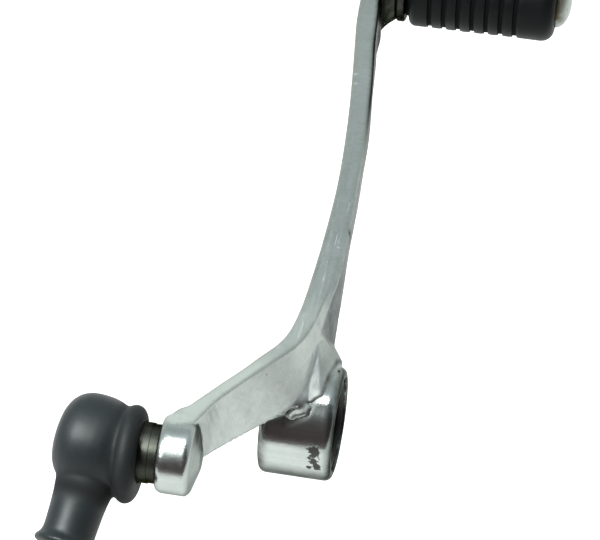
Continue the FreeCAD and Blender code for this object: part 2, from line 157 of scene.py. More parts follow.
THROAT_RADIUS = 6.2
THROAT_RINGS = (4.0, 4.6, 5.2, 5.8, 6.4, 6.9, 7.25, 12.0)  # close together where the throat bends
BORE = [(3.0, 0), (3.0, 4.05), (30.0, 4.05), (30.0, 0)]


# ---------------------------------------------------------------- meshes

def link(name, mesh):
    obj = bpy.data.objects.new(name, mesh)
    bpy.context.scene.collection.objects.link(obj)
    return obj


def shade_smooth(mesh):
    mesh.polygons.foreach_set("use_smooth", np.ones(len(mesh.polygons), bool))
    mesh.update()


def lathe(name, profile, matrix, segments=96):
    """A closed solid turned about the matrix's x axis from (x, radius) points, both in metres."""
    bm = bmesh.new()
    rings = []
    for x, radius in profile:
        if radius < 1e-7:
            rings.append([bm.verts.new(matrix @ Vector((x, 0, 0)))])
            continue
        ring = []
        for k in range(segments):
            turn = 2 * math.pi * k / segments
            ring.append(bm.verts.new(matrix @ Vector((x, radius * math.cos(turn), radius * math.sin(turn)))))
        rings.append(ring)
    for a, b in zip(rings, rings[1:]):
        for k in range(segments):
            n = (k + 1) % segments
            corners = [a[k % len(a)], b[k % len(b)], b[n % len(b)], a[n % len(a)]]
            unique = list(dict.fromkeys(corners))
            if len(unique) > 2:
                bm.faces.new(unique)
    bmesh.ops.recalc_face_normals(bm, faces=bm.faces)
    mesh = bpy.data.meshes.new(name)
    bm.to_mesh(mesh)
    bm.free()
    shade_smooth(mesh)
    return link(name, mesh)


def in_mm(profile):
    return [(x * MM, r * MM) for x, r in profile]


def baked(obj):
    """The object's mesh with its modifiers applied."""
    bpy.context.view_layer.update()
    mesh = bpy.data.meshes.new_from_object(obj.evaluated_get(bpy.context.evaluated_depsgraph_get()))
    obj.modifiers.clear()
    obj.data = mesh
    return obj


def remeshed(obj, voxel):
    modifier = obj.modifiers.new("remesh", "REMESH")
    modifier.mode = "VOXEL"
    modifier.voxel_size = voxel
    return baked(obj)


def joined(name, parts):
    bm = bmesh.new()
    for part in parts:
        bm.from_mesh(part.data)
        bpy.data.objects.remove(part)
    mesh = bpy.data.meshes.new(name)
    bm.to_mesh(mesh)
    bm.free()
    return link(name, mesh)


def get_points(obj):
    co = np.zeros(len(obj.data.vertices) * 3)
    obj.data.vertices.foreach_get("co", co)
    return co.reshape(-1, 3)


def set_points(obj, co):
    obj.data.vertices.foreach_set("co", co.ravel())
    obj.data.update()


def get_normals(obj):
    normals = np.zeros(len(obj.data.vertices) * 3)
    obj.data.vertex_normals.foreach_get("vector", normals)
    return normals.reshape(-1, 3)


def edge_pairs(obj):
    pairs = np.zeros(len(obj.data.edges) * 2, int)
    obj.data.edges.foreach_get("vertices", pairs)
    return pairs.reshape(-1, 2)


def mean_of_neighbours(values, pairs):
    total = np.zeros_like(values)
    count = np.zeros(len(values))
    np.add.at(total, pairs[:, 0], values[pairs[:, 1]])
    np.add.at(total, pairs[:, 1], values[pairs[:, 0]])
    np.add.at(count, pairs.ravel(), 1)
    return total / np.maximum(count, 1).reshape((-1,) + (1,) * (values.ndim - 1))


def relax(obj, rounds, weight=1.0, keep_volume=True):
    """Smooths the mesh. weight is one number or one for each vertex."""
    co, pairs = get_points(obj), edge_pairs(obj)
    share = np.broadcast_to(np.asarray(weight, float), (len(co),))[:, None]
    for _ in range(rounds):
        co = co + 0.5 * share * (mean_of_neighbours(co, pairs) - co)
        if keep_volume:
            co = co - 0.53 * share * (mean_of_neighbours(co, pairs) - co)
    set_points(obj, co)


def near(co, centre, radius):
    """1 at the centre, falling smoothly to 0 at the radius."""
    d = np.linalg.norm(co - np.array(centre), axis=1) / radius
    return np.clip(1 - d * d, 0, 1) ** 2


def snap_to_cylinder(obj, centre, radius, x_low, x_high, reach):
    """Puts vertices that are already close to an X-parallel cylinder exactly on it."""
    co = get_points(obj)
    d = co[:, 1:] - np.array([centre.y, centre.z])
    r = np.linalg.norm(d, axis=1)
    close = (np.abs(r - radius) < reach) & (co[:, 0] > x_low) & (co[:, 0] < x_high)
    co[close, 1:] = np.array([centre.y, centre.z]) + d[close] * (radius / r[close])[:, None]
    set_points(obj, co)


def step(values, low, high):
    """0 below low, 1 above high, smooth between; low may be the larger."""
    t = np.clip((values - low) / (high - low), 0, 1)
    return t * t * (3 - 2 * t)


def near_value(values, middle, reach):
    """1 at the middle, falling smoothly to 0 at the reach."""
    return np.clip(1 - ((values - middle) / reach) ** 2, 0, 1) ** 2


def by_line(co, points, radius):
    """1 on the line through the points, falling smoothly to 0 at the radius. The line is in millimetres."""
    best = np.zeros(len(co))
    for a, b in zip(points, points[1:]):
        a, b = np.array(a) * MM, np.array(b) * MM
        t = np.clip((co - a) @ (b - a) / ((b - a) @ (b - a)), 0, 1)
        d = np.linalg.norm(co - a - t[:, None] * (b - a), axis=1) / (radius * MM)
        best = np.maximum(best, np.clip(1 - d * d, 0, 1) ** 2)
    return best


def hull(name, points):
    bm = bmesh.new()
    for point in points:
        bm.verts.new([c * MM for c in point])
    bmesh.ops.convex_hull(bm, input=bm.verts)
    mesh = bpy.data.meshes.new(name)
    bm.to_mesh(mesh)
    bm.free()
    return link(name, mesh)


def attribute(obj, name, values):
    layer = obj.data.attributes.new(name, "FLOAT", "POINT")
    layer.data.foreach_set("value", np.asarray(values, np.float32))


# ---------------------------------------------------------------- materials

class Shader:
    """A small wrapper that adds nodes to one material and links them."""

    def __init__(self, name):
        self.material = bpy.data.materials.new(name)
        self.material.use_nodes = True
        self.tree = self.material.node_tree
        self.surface = self.tree.nodes["Principled BSDF"]
        self.coordinates = self.add("TexCoord").outputs["Object"]

    def add(self, kind, settings=None, **sockets):
        node = self.tree.nodes.new("ShaderNode" + kind)
        for key, value in (settings or {}).items():
            setattr(node, key, value)
        for key, value in sockets.items():
            self.feed(node, key.replace("_", " "), value)
        return node

    def feed(self, node, key, value):
        socket = node.inputs[int(key)] if key.isdigit() else node.inputs[key]
        if isinstance(value, bpy.types.NodeSocket):
            self.tree.links.new(value, socket)
        else:
            socket.default_value = value

    def set(self, **sockets):
        for key, value in sockets.items():
            self.feed(self.surface, key.replace("_", " "), value)

    def noise(self, scale, detail=3.0, rough=0.55, stretch=None, twist=0.0):
        vector = self.coordinates
        if stretch:
            mapping = self.add("Mapping", Vector=self.coordinates, Scale=stretch)
            vector = mapping.outputs[0]
        node = self.add("TexNoise", Vector=vector, Scale=scale, Detail=detail, Roughness=rough,
                        Distortion=twist)
        return node.outputs["Fac"]

    def cells(self, scale):
        node = self.add("TexVoronoi", Vector=self.coordinates, Scale=scale, Randomness=1.0)
        return node.outputs["Distance"]

    def ramp(self, value, low, high, out_low=0.0, out_high=1.0):
        node = self.add("MapRange", {"interpolation_type": "SMOOTHSTEP"}, Value=value)
        for key, number in (("From Min", low), ("From Max", high), ("To Min", out_low), ("To Max", out_high)):
            node.inputs[key].default_value = number
        return node.outputs[0]

    def math(self, operation, a, b=0.0):
        node = self.add("Math", {"operation": operation})
        self.feed(node, "0", a)
        self.feed(node, "1", b)
        return node.outputs[0]

    def mix(self, share, a, b):
        node = self.add("Mix", {"data_type": "RGBA"})
        self.feed(node, "0", share)
        self.feed(node, "6", a)
        self.feed(node, "7", b)
        return node.outputs[2]

    def value(self, name):
        return self.add("Attribute", {"attribute_name": name}).outputs["Fac"]

    def spot(self, centre, radius, soft):
        """1 at the centre, fading to 0 over the soft share of the radius; both in metres."""
        node = self.add("VectorMath", {"operation": "DISTANCE"})
        self.feed(node, "0", self.coordinates)
        node.inputs[1].default_value = centre
        return self.ramp(node.outputs["Value"], radius * (1 - soft), radius, 1.0, 0.0)

    def bump(self, *layers):
        """Stacks (height, depth in metres) layers and feeds the surface normal."""
        normal = None
        for height, depth in layers:
            node = self.add("Bump", Height=height, Distance=depth, Strength=1.0)
            if normal:
                self.feed(node, "Normal", normal)
            normal = node.outputs[0]
        self.feed(self.surface, "Normal", normal)


def colour(r, g, b):
    return (r, g, b, 1.0)


def aluminium():
    """Worn cast aluminium. polish marks the turned bosses. The other layers darken patches as painted shade,
    darken the convex edges, lighten the upward faces as a painted highlight, darken the +X-facing sides, the
    upper arm's side and the eye as painted shade, and darken the creases, the boss's underside and rims with
    grime and painted shade."""
    s = Shader("cast_aluminium_worn")
    polish, painted_shade_patches, edge, painted_top_highlight = (s.value(name) for name in ("polish", "painted_shade_patches", "edge", "painted_top_highlight"))
    shade, painted_dark_side, grime_and_crease_shade = (s.value(name) for name in ("shade", "painted_dark_side", "grime_and_crease_shade"))
    broad = s.noise(55, 3)
    patchy = s.noise(240, 5, 0.65)
    grain = s.noise(2600, 4, 0.7)
    drawn = s.noise(70, 5, 0.75, (14, 1, 14))
    across = s.noise(90, 4, 0.7, (1.2, 14, 6))
    turned = s.noise(60, 4, 0.7, (0.5, 9, 9))
    long_lines = s.ramp(s.noise(120, 4, 0.7, (9, 0.6, 9), 0.4), 0.60, 0.68)
    cross_lines = s.ramp(s.noise(160, 3, 0.7, (1.3, 8, 5), 0.6), 0.64, 0.72)
    marks = s.math("MULTIPLY", s.math("MAXIMUM", long_lines, cross_lines), s.ramp(s.noise(40, 2), 0.42, 0.6))
    marks = s.math("MULTIPLY", marks, s.ramp(polish, 0.0, 0.5, 1.0, 0.15))
    spread = s.ramp(s.noise(90, 2), 0.30, 0.66, 0.40, 0.0)
    pits = s.ramp(s.math("ADD", s.cells(300), spread), 0.05, 0.15, 1.0, 0.0)
    ragged = s.noise(900, 3, 0.6)
    chain = s.math("MULTIPLY", s.spot((4.2 * MM, -11.3 * MM, 2.6 * MM), 4.0 * MM, 1.0), 0.35)
    for x, degrees, radius in STAINS:
        turn = math.radians(degrees)
        place = (x * MM, -BOSS_RADIUS * math.cos(turn), BOSS_RADIUS * math.sin(turn))
        chain = s.math("MAXIMUM", chain, s.spot(place, radius * MM, 1.0))
    blotch = s.ramp(s.math("ADD", chain, s.ramp(ragged, 0.30, 0.70, -0.55, 0.45)), 0.42, 0.72)
    specks = s.math("MAXIMUM", s.spot((-4.5 * MM, 87.5 * MM, 10.7 * MM), 0.75 * MM, 0.9),
                    s.spot((-3.9 * MM, 84.1 * MM, 11.3 * MM), 0.7 * MM, 0.9))
    # The real stain and pits join grime and painted shade from the creases, the boss's underside and its rims
    dirt_and_shade = s.math("MAXIMUM", s.math("MAXIMUM", blotch, s.math("MULTIPLY", pits, 0.45)),
                  s.math("MULTIPLY", grime_and_crease_shade, s.ramp(patchy, 0.25, 0.62, 0.55, 1.0)))
    metal = s.mix(broad, colour(0.405, 0.437, 0.421), colour(0.468, 0.493, 0.475))
    metal = s.mix(s.math("MULTIPLY", s.ramp(patchy, 0.35, 0.7), 0.34), metal, colour(0.335, 0.36, 0.346))
    mottle = s.math("MULTIPLY", s.ramp(s.noise(1000, 5, 0.75), 0.47, 0.66),
                    s.ramp(polish, 0.0, 0.5, 0.30, 0.08))
    metal = s.mix(mottle, metal, colour(0.29, 0.315, 0.30))
    metal = s.mix(s.math("MULTIPLY", s.ramp(grain, 0.50, 0.68), 0.16), metal, colour(0.62, 0.66, 0.63))
    # Painted highlight: the upward faces get a lighter metal
    metal = s.mix(painted_top_highlight, metal, colour(0.71, 0.735, 0.69))
    metal = s.mix(s.math("MULTIPLY", edge, 0.6), metal, colour(0.27, 0.285, 0.25))
    # Painted shade: darker metal at the boss's outboard rim, the ball boss's end, the web's foot and its left
    # facet
    metal = s.mix(painted_shade_patches, metal, colour(0.095, 0.115, 0.105))
    metal = s.mix(s.math("MULTIPLY", s.ramp(turned, 0.40, 0.62), s.math("MULTIPLY", polish, 0.35)), metal,
                  colour(0.33, 0.37, 0.35))
    metal = s.mix(s.math("MULTIPLY", marks, 0.17), metal, colour(0.60, 0.64, 0.62))
    metal = s.mix(s.math("MULTIPLY", specks, 0.5), metal, colour(0.82, 0.86, 0.85))
    # Painted shade: a darker copy of the metal for the +X-facing side
    shaded_side_colour = s.mix(s.ramp(patchy, 0.3, 0.7), colour(0.20, 0.215, 0.215), colour(0.34, 0.36, 0.355))
    metal = s.mix(shade, metal, shaded_side_colour)
    # Painted shade: near-black metal for the upper arm's +X side and the eye
    dark_side_colour = s.mix(s.ramp(s.noise(170, 4, 0.6), 0.50, 0.68), colour(0.026, 0.028, 0.023),
                 colour(0.066, 0.068, 0.057))
    metal = s.mix(painted_dark_side, metal, dark_side_colour)
    s.set(Base_Color=s.mix(s.math("MULTIPLY", dirt_and_shade, 0.93), metal, colour(0.034, 0.033, 0.028)), Metallic=1.0)
    satin = s.ramp(drawn, 0.3, 0.7, 0.27, 0.38)
    shiny = s.ramp(broad, 0.3, 0.7, 0.12, 0.18)
    rough = s.add("Mix", {"data_type": "FLOAT"})
    for key, value in (("0", polish), ("2", satin), ("3", shiny)):
        s.feed(rough, key, value)
    s.set(Roughness=s.math("ADD", rough.outputs[0], s.math("MULTIPLY", s.math("MAXIMUM", dirt_and_shade, marks), 0.20)))
    s.surface.inputs["Specular Tint"].default_value = colour(0.33, 0.335, 0.33)
    s.bump((s.noise(330, 2), 0.02 * MM), (grain, 0.008 * MM), (drawn, 0.012 * MM), (across, 0.011 * MM),
           (marks, -0.002 * MM), (blotch, -0.02 * MM))
    return s.material


def bright_steel():
    s = Shader("bright_steel_pitted")
    broad = s.noise(220, 4, 0.6)
    pits = s.ramp(s.cells(950), 0.10, 0.22, 1.0, 0.0)
    sparse = s.math("MULTIPLY", pits, s.ramp(s.noise(300, 2), 0.40, 0.55))
    stain = s.math("MULTIPLY", s.ramp(broad, 0.42, 0.62), s.value("skirt"))
    metal = s.mix(broad, colour(0.20, 0.23, 0.215), colour(0.36, 0.39, 0.37))
    stained = s.mix(stain, metal, colour(0.13, 0.115, 0.075))
    s.set(Base_Color=s.mix(s.math("MULTIPLY", sparse, 0.85), stained, colour(0.10, 0.09, 0.07)), Metallic=1.0)
    s.set(Roughness=s.math("ADD", s.ramp(broad, 0.3, 0.7, 0.26, 0.42), s.math("MULTIPLY", stain, 0.3)))
    s.bump((broad, 0.06 * MM), (s.noise(2400, 3), 0.012 * MM), (sparse, -0.06 * MM))
    return s.material


def dark_steel(name, low, high):
    s = Shader(name)
    broad = s.noise(260, 4, 0.6)
    fine = s.noise(3000, 3, 0.6)
    s.set(Base_Color=s.mix(s.ramp(broad, 0.3, 0.7), low, high), Metallic=1.0)
    s.set(Roughness=s.ramp(broad, 0.3, 0.7, 0.30, 0.46))
    s.surface.inputs["Specular Tint"].default_value = colour(0.25, 0.25, 0.22)
    s.bump((broad, 0.03 * MM), (fine, 0.006 * MM))
    return s.material


def plated_steel():
    s = Shader("plated_steel_brushed")
    turned = s.noise(300, 4, 0.6, (14, 1, 1))
    broad = s.noise(180, 3)
    s.set(Base_Color=s.mix(broad, colour(0.28, 0.27, 0.22), colour(0.50, 0.49, 0.43)), Metallic=1.0)
    s.set(Roughness=s.ramp(turned, 0.3, 0.7, 0.22, 0.42))
    s.bump((turned, 0.01 * MM), (broad, 0.02 * MM))
    return s.material


def polymer(name, low, high):
    s = Shader(name)
    flow = s.noise(240, 3)
    s.set(Base_Color=s.mix(flow, low, high), Roughness=s.ramp(flow, 0.3, 0.7, 0.45, 0.6))
    s.bump((s.noise(4000, 2), 0.01 * MM))
    return s.material


def rubber(name, low, high, dust, rough, gloss, grain_scale, grain_depth, dust_share):
    """Dull rubber between two colours, with dust. A painted shade layer makes its grooves and hollows near
    black and rougher.
    """
    s = Shader(name)
    broad = s.noise(110, 4, 0.6)
    fine = s.noise(grain_scale, 3, 0.6)
    specks = s.math("MULTIPLY", s.ramp(s.cells(700), 0.05, 0.12, 1.0, 0.0),
                    s.ramp(s.noise(260, 2), 0.5, 0.62))
    body = s.mix(broad, low, high)
    body = s.mix(s.math("MULTIPLY", s.ramp(s.noise(420, 5, 0.7), 0.52, 0.75), dust_share), body, dust)
    painted_recess_shade = s.value("painted_recess_shade")
    # Painted shade: grooves and hollows turn near black
    body = s.mix(painted_recess_shade, body, colour(0.0012, 0.0013, 0.0014))
    s.set(Base_Color=s.mix(s.math("MULTIPLY", specks, 0.5), body, dust))
    s.set(Roughness=s.math("ADD", s.ramp(broad, 0.25, 0.75, rough - 0.05, rough + 0.07),
                           s.math("MULTIPLY", painted_recess_shade, 0.45)))
    s.surface.inputs["Specular IOR Level"].default_value = gloss
    s.bump((broad, 0.05 * MM), (fine, grain_depth * MM), (specks, 0.02 * MM))
    return s.material


# ---------------------------------------------------------------- pieces

def lever_casting():
    """The cast arm with its bosses: the CAD shape with cast edges, turned bosses and one nick in its side."""
    mesh = frame["nodes"]["lever_casting"].data.copy()
    bm = bmesh.new()
    bm.from_mesh(mesh)
    bmesh.ops.remove_doubles(bm, verts=bm.verts, dist=1e-6)
    bm.to_mesh(mesh)
    bm.free()
    parts = [link("cast_shape", mesh), hull("web_face", WEB_FACE), hull("web_foot", WEB_FOOT)]
    obj = remeshed(joined("casting", parts), CAST_VOXEL)
    relax(obj, 3)
    co = get_points(obj)
    lip = np.abs(np.hypot(co[:, 1], co[:, 2]) - RIM_RADIUS) < RIM_HALF_WIDTH
    lip &= np.abs(co[:, 0]) > RIM_START
    relax(obj, 12, lip.astype(float))
    co = get_points(obj)
    swell = near(co, (-20.6 * MM, -23.6 * MM, 26.8 * MM), 4.6 * MM)[:, None] * np.array((-0.14, 0.75, 0.64))
    swell += 0.7 * near(co, (-3.6 * MM, 112.5 * MM, -5.5 * MM), 7 * MM)[:, None] * np.array((1.0, 0, 0))
    set_points(obj, co + swell * SWELL_HEIGHT * MM)
    for middle, reach, rounds in SOFT_SPOTS:
        spot = near(get_points(obj), [c * MM for c in middle], reach * MM)
        relax(obj, rounds, spot, keep_volume=False)
    nick = by_line(get_points(obj), SIDE_NICK, 0.9)
    set_points(obj, get_points(obj) - get_normals(obj) * nick[:, None] * NICK_DEPTH * MM)
    snap_to_cylinder(obj, Vector((0, 0, 0)), BOSS_RADIUS, -BOSS_FLAT_HALF, BOSS_FLAT_HALF, SNAP_REACH)
    low, high = (BALL.x + x for x in BALL_BOSS_SPAN)
    snap_to_cylinder(obj, BALL, BALL_BOSS_RADIUS, low, high, SNAP_REACH)
    casting_tones(obj)
    shade_smooth(obj.data)
    return obj


def casting_tones(obj):
    """The casting's tone layers, which the aluminium reads. They are fixed to the metal and were placed to
    match the photo's tones: the darker patches, sides, underside and rims are painted shade, the lighter
    upward faces a painted highlight, and the creases hold grime with painted shade."""
    co, pairs, normals = get_points(obj), edge_pairs(obj), get_normals(obj)
    from_axis = np.hypot(co[:, 1], co[:, 2])
    off_ball = co - np.array(BALL)
    from_ball = np.hypot(off_ball[:, 1], off_ball[:, 2])
    boss = (from_axis < BOSS_RADIUS + 0.08 * MM).astype(float)
    ball_boss = ((from_ball < BALL_BOSS_RADIUS + 0.06 * MM) & (off_ball[:, 0] < BALL_BOSS_END)).astype(float)
    tilt = np.degrees(np.arctan2(co[:, 2], -co[:, 1]))
    # Painted shade on the boss's underside, and painted shade with some dirt along its left rim
    below = boss * step(tilt, 0, -26) * step(tilt, -170, -110)
    left_rim_shade_and_dirt = boss * step(co[:, 0], -4.9 * MM, -6.8 * MM) * step(np.abs(tilt), 95, 60)
    smooth = co
    for _ in range(4):
        smooth = mean_of_neighbours(smooth, pairs)
    unturned = 1 - np.maximum(boss, ball_boss)
    edge = step(((co - smooth) * normals).sum(1), 0.02 * MM, 0.10 * MM) * unturned
    # Painted highlight: upward faces below y = 24 mm are lighter, most on the rear arm
    top = step(normals[:, 2], 0.6, 0.8) * unturned
    painted_top_highlight = top * step(co[:, 1], 24 * MM, 8 * MM) * (0.5 + 0.5 * step(co[:, 1], 0, -8 * MM))
    dome = step(off_ball[:, 0], 18.4 * MM, 18.9 * MM) * (from_ball < BALL_BOSS_RADIUS)
    # Painted shade on the +X-facing side of the arm
    side = step(normals[:, 0], 0.90, 0.97) * (co[:, 1] > 10 * MM)
    # Painted shade on the upper arm's +X side and on the eye
    upper_side = step(co[:, 1], 58 * MM, 80 * MM) * step(normals[:, 0], 0.2, 0.55)
    eye = step(co[:, 1], 108 * MM, 114 * MM) * step(normals[:, 0], 0.05, 0.4)
    eye *= step(co[:, 2], 7.2 * MM, 6.0 * MM)
    layers = {
        "polish": np.maximum(boss, 0.55 * ball_boss),
        # Painted shade at the boss's outboard rim, the ball boss's end, the web's foot and its left facet
        "painted_shade_patches": np.maximum.reduce([
            0.75 * boss * step(co[:, 0], 5.8 * MM, 6.9 * MM), 0.22 * dome,
            0.45 * by_line(co, FOOT_MIDDLE, 2.3), 0.12 * by_line(co, WEB_LEFT, 2.6)]),
        "edge": edge,
        "painted_top_highlight": painted_top_highlight,
        "shade": side,
        "painted_dark_side": np.maximum(0.85 * upper_side, eye),
        # Grime and painted shade in the creases, under the arm, in the nick, under the boss, along its rims
        # and on the web
        "grime_and_crease_shade": np.maximum.reduce([
            by_line(co, WEB_CREASE, 0.85), by_line(co, FOOT_CREASE, 0.6), by_line(co, ARM_UNDER, 0.8) * 0.8,
            by_line(co, SIDE_NICK, 1.1), 0.75 * below, 0.8 * left_rim_shade_and_dirt, 0.25 * by_line(co, WEB_MIDDLE, 3.6),
            0.9 * boss * step(co[:, 0], 6.9 * MM, 7.2 * MM) * step(from_axis, 11.5 * MM, 11.2 * MM)]),
    }
    for name, values in layers.items():
        for _ in range(2):
            values = mean_of_neighbours(values, pairs)
        attribute(obj, name, values)


def toe_rubber():
    """The ribbed peg rubber: rolled ends, rounded rib shoulders and a slightly uneven skin."""
    end = PEG_HIGH.x / MM
    start = PEG_LOW.x / MM
    stations = set(np.linspace(start + 2.6, end - PEG_TIP_ROUND, 60).round(3))
    for index in range(GROOVE_COUNT):
        middle = GROOVE_FIRST + index * GROOVE_PITCH
        for offset in GROOVE_STATIONS:
            stations |= {round(middle - offset, 3), round(middle + offset, 3)}
    profile = [(start, 5.0), (start, 7.4), (start + 0.35, 7.75), (start + 0.8, 7.8), (start + 0.95, 8.1)]
    for k in range(1, 9):
        turn = math.pi / 2 * k / 8
        profile.append((start + 0.95 + 1.6 * (1 - math.cos(turn)), 8.3 + 1.65 * math.sin(turn)))
    for x in sorted(stations):
        if x <= profile[-1][0] + 0.05:
            continue
        radius = PEG_RADIUS - PEG_TAPER * (x - start) / (end - start)
        for index in range(GROOVE_COUNT):
            d = abs(x - GROOVE_FIRST - index * GROOVE_PITCH)
            wall = min(max((GROOVE_HALF - d) / GROOVE_SLOPE, 0), 1)
            radius -= GROOVE_DEPTH * wall * wall * (3 - 2 * wall)
            radius -= 0.07 * math.exp(-((d - 0.74) / 0.22) ** 2) if d > GROOVE_HALF else 0
        profile.append((x, radius))
    tip_radius = PEG_RADIUS - PEG_TAPER
    for k in range(1, 11):
        turn = math.pi / 2 * k / 10
        profile.append((end - PEG_TIP_ROUND + PEG_TIP_ROUND * math.sin(turn),
                        tip_radius - PEG_TIP_ROUND * (1 - math.cos(turn))))
    profile += [(end, 6.3), (end - 0.6, 6.2), (end - 0.8, 5.0)]
    obj = lathe("peg_rubber_sleeve", in_mm(profile), Matrix.Translation(PEG_HUB), 144)
    co = get_points(obj)
    around = np.arctan2(co[:, 2] - PEG_HUB.z, co[:, 1] - PEG_HUB.y)
    radius = np.hypot(co[:, 2] - PEG_HUB.z, co[:, 1] - PEG_HUB.y)
    wave = 0.05 * MM * np.sin(3 * around + 0.6) + 0.035 * MM * np.sin(around * 7 + co[:, 0] / MM * 0.35)
    wave = np.where(radius > 7 * MM, wave, 0)
    co[:, 1] += wave * np.cos(around)
    co[:, 2] += wave * np.sin(around)
    set_points(obj, co)
    skin = (PEG_RADIUS - PEG_TAPER * (co[:, 0] / MM - start) / (end - start)) * MM
    middle = (co[:, 0] > (start + 3) * MM) & (co[:, 0] < (end - 3) * MM)
    # Painted shade in the peg's grooves
    attribute(obj, "painted_recess_shade", np.where(middle, step(skin - radius, 0.10 * MM, 0.32 * MM), 0))
    return obj


def toe_pin():
    """The peg's steel pin: peened inboard end, plain shank and a dented domed head."""
    low, tip, rubber_end = PIN_LOW.x / MM, PIN_HIGH.x / MM, PEG_HIGH.x / MM
    profile = [(low, 0), (low, 2.6), (low + 0.12, 3.4), (low + 0.5, 4.7), (low + 0.9, 5.1), (low + 1.5, 4.6),
               (low + 2.1, 4.0), (PEG_LOW.x / MM, 4.0), (PEG_LOW.x / MM, 4.95), (rubber_end - 0.75, 4.95),
               (rubber_end - 0.72, 5.4), (rubber_end - 0.1, 5.95), (rubber_end + 0.3, 6.08)]
    rise = tip - rubber_end
    for k in range(2, 29):
        turn = math.pi / 2 * k / 28
        radius = PIN_HEAD_RADIUS * math.cos(turn) if k < 28 else 0
        profile.append((rubber_end + 0.2 + (rise - 0.2) * math.sin(turn), radius))
    obj = lathe("peg_pin", in_mm(profile), Matrix.Translation(PEG_HUB), 96)
    co = get_points(obj)
    rng = np.random.default_rng(7)
    normals = get_normals(obj)
    for _ in range(PIN_DENTS):
        turn, reach = rng.uniform(0, 2 * math.pi), 5.6 * math.sqrt(rng.uniform(0.02, 1))
        x = rubber_end + 0.2 + (rise - 0.2) * math.sqrt(max(0, 1 - (reach / PIN_HEAD_RADIUS) ** 2))
        centre = PEG_HUB + Vector((x, reach * math.cos(turn), reach * math.sin(turn))) * MM
        co -= normals * (near(co, centre, rng.uniform(0.5, 1.1) * MM) * rng.uniform(0.02, 0.09) * MM)[:, None]
    set_points(obj, co)
    # The stain keeps to the part of the head near the rubber, and ends towards its underside
    skirt = np.clip(1.25 - (co[:, 0] / MM - rubber_end) / 2.2, 0, 1)
    attribute(obj, "skirt", skirt * step(co[:, 2] - PEG_HUB.z, -3.9 * MM, -2.6 * MM))
    shade_smooth(obj.data)
    return obj


def rod_matrix(offset=0.0):
    """The rod end's own axes: x out of the boot's mouth, y away from the shank, z along the tilt axis."""
    y = -SHANK
    x = y.cross(TILT_AXIS).normalized()
    turn = Matrix((x, y, TILT_AXIS)).transposed().to_4x4()
    return Matrix.Translation(BALL + y * offset * MM) @ turn


def joint_boot():
    """One soft rubber boot: bulb, groove, lip round the stud, and a sleeve with a rolled end."""
    bulb = lathe("boot_bulb", in_mm(BULB), rod_matrix(BOOT_LIFT))
    lip = lathe("boot_lip_outside", in_mm(LIP), Matrix.Translation(BALL + LIP_SAG))
    along_shank = rod_matrix() @ Matrix.Rotation(-math.pi / 2, 4, "Z")
    sleeve = lathe("boot_sleeve", in_mm(SLEEVE), along_shank)
    boot = remeshed(joined("boot", [bulb, lip, sleeve]), BOOT_VOXEL)
    relax(boot, 14, 1.0, keep_volume=False)
    relax(boot, 4)
    throat = [(THROAT_RINGS[0], 0)] + [(x, THROAT_RADIUS) for x in THROAT_RINGS] + [(THROAT_RINGS[-1], 0)]
    cuts = (("cavity", CAVITY, rod_matrix()), ("mouth", throat, Matrix.Translation(BALL)),
            ("bore", BORE, along_shank))
    for name, profile, matrix in cuts:
        cutter = lathe(name, in_mm(profile), matrix, 72)
        modifier = boot.modifiers.new(name, "BOOLEAN")
        modifier.operation = "DIFFERENCE"
        modifier.solver = "EXACT"
        modifier.object = cutter
        baked(boot)
        bpy.data.objects.remove(cutter)
    # Painted shade: darker rubber on the underside, at the sleeve's root and by the mouth
    underside = -get_normals(boot)[:, 2]
    off_ball = get_points(boot) - np.array(BALL)
    root = near_value(off_ball @ np.array(SHANK), 9.6 * MM, 3.2 * MM)
    mouth_side = step(off_ball[:, 0], 3.0 * MM, 4.6 * MM)
    painted_recess_shade = np.maximum.reduce([0.7 * step(underside, 0.15, 0.75), 0.8 * root, 0.45 * mouth_side])
    attribute(boot, "painted_recess_shade", painted_recess_shade)
    shade_smooth(boot.data)
    return boot


ALUMINIUM = aluminium()
BRIGHT = bright_steel()
DARK = dark_steel("dark_steel_oily", colour(0.030, 0.032, 0.026), colour(0.048, 0.050, 0.042))
# Near-black steel: painted shade on the pivot collar, and the toe washer's own near-black colour
BLACK_STEEL_AND_SHADE = dark_steel("black_steel_and_painted_shade", colour(0.012, 0.012, 0.010), colour(0.05, 0.05, 0.044))
PLATED = plated_steel()
PEG_RUBBER = rubber("peg_rubber_black", colour(0.0022, 0.0027, 0.0028), colour(0.0042, 0.0050, 0.0052),
                    colour(0.022, 0.024, 0.025), 0.44, 0.08, 2600, 0.012, 0.06)
BOOT_RUBBER = rubber("boot_rubber_slate", colour(0.0062, 0.0082, 0.0088), colour(0.0095, 0.0122, 0.0130),
                     colour(0.026, 0.029, 0.029), 0.47, 0.25, 3400, 0.010, 0.07)
SEAL_RUBBER = rubber("seal_rubber_black", colour(0.008, 0.008, 0.008), colour(0.02, 0.02, 0.019),
                     colour(0.06, 0.05, 0.04), 0.5, 0.3, 3000, 0.012, 0.3)
BUSH = polymer("bush_polymer_tan", colour(0.13, 0.10, 0.06), colour(0.20, 0.16, 0.10))
SEAT = polymer("seat_polymer_white", colour(0.62, 0.60, 0.52), colour(0.74, 0.72, 0.66))

NEW_PIECES = [
    (lever_casting(), ALUMINIUM, "cast_aluminium", "lever", ["lever_casting"]),
    (toe_rubber(), PEG_RUBBER, "peg_rubber", "lever", ["toe_rubber"]),
    (toe_pin(), BRIGHT, "bright_steel", "lever", ["toe_pin"]),
    (joint_boot(), BOOT_RUBBER, "boot_rubber", None, ["joint_boot", "boot_lip"]),
]
for piece, material, slot, body, nodes in NEW_PIECES:
    piece.data.materials.clear()
    piece.data.materials.append(material)
    if body:
        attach(piece, body)
    else:
        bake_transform(piece)
    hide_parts(*nodes)

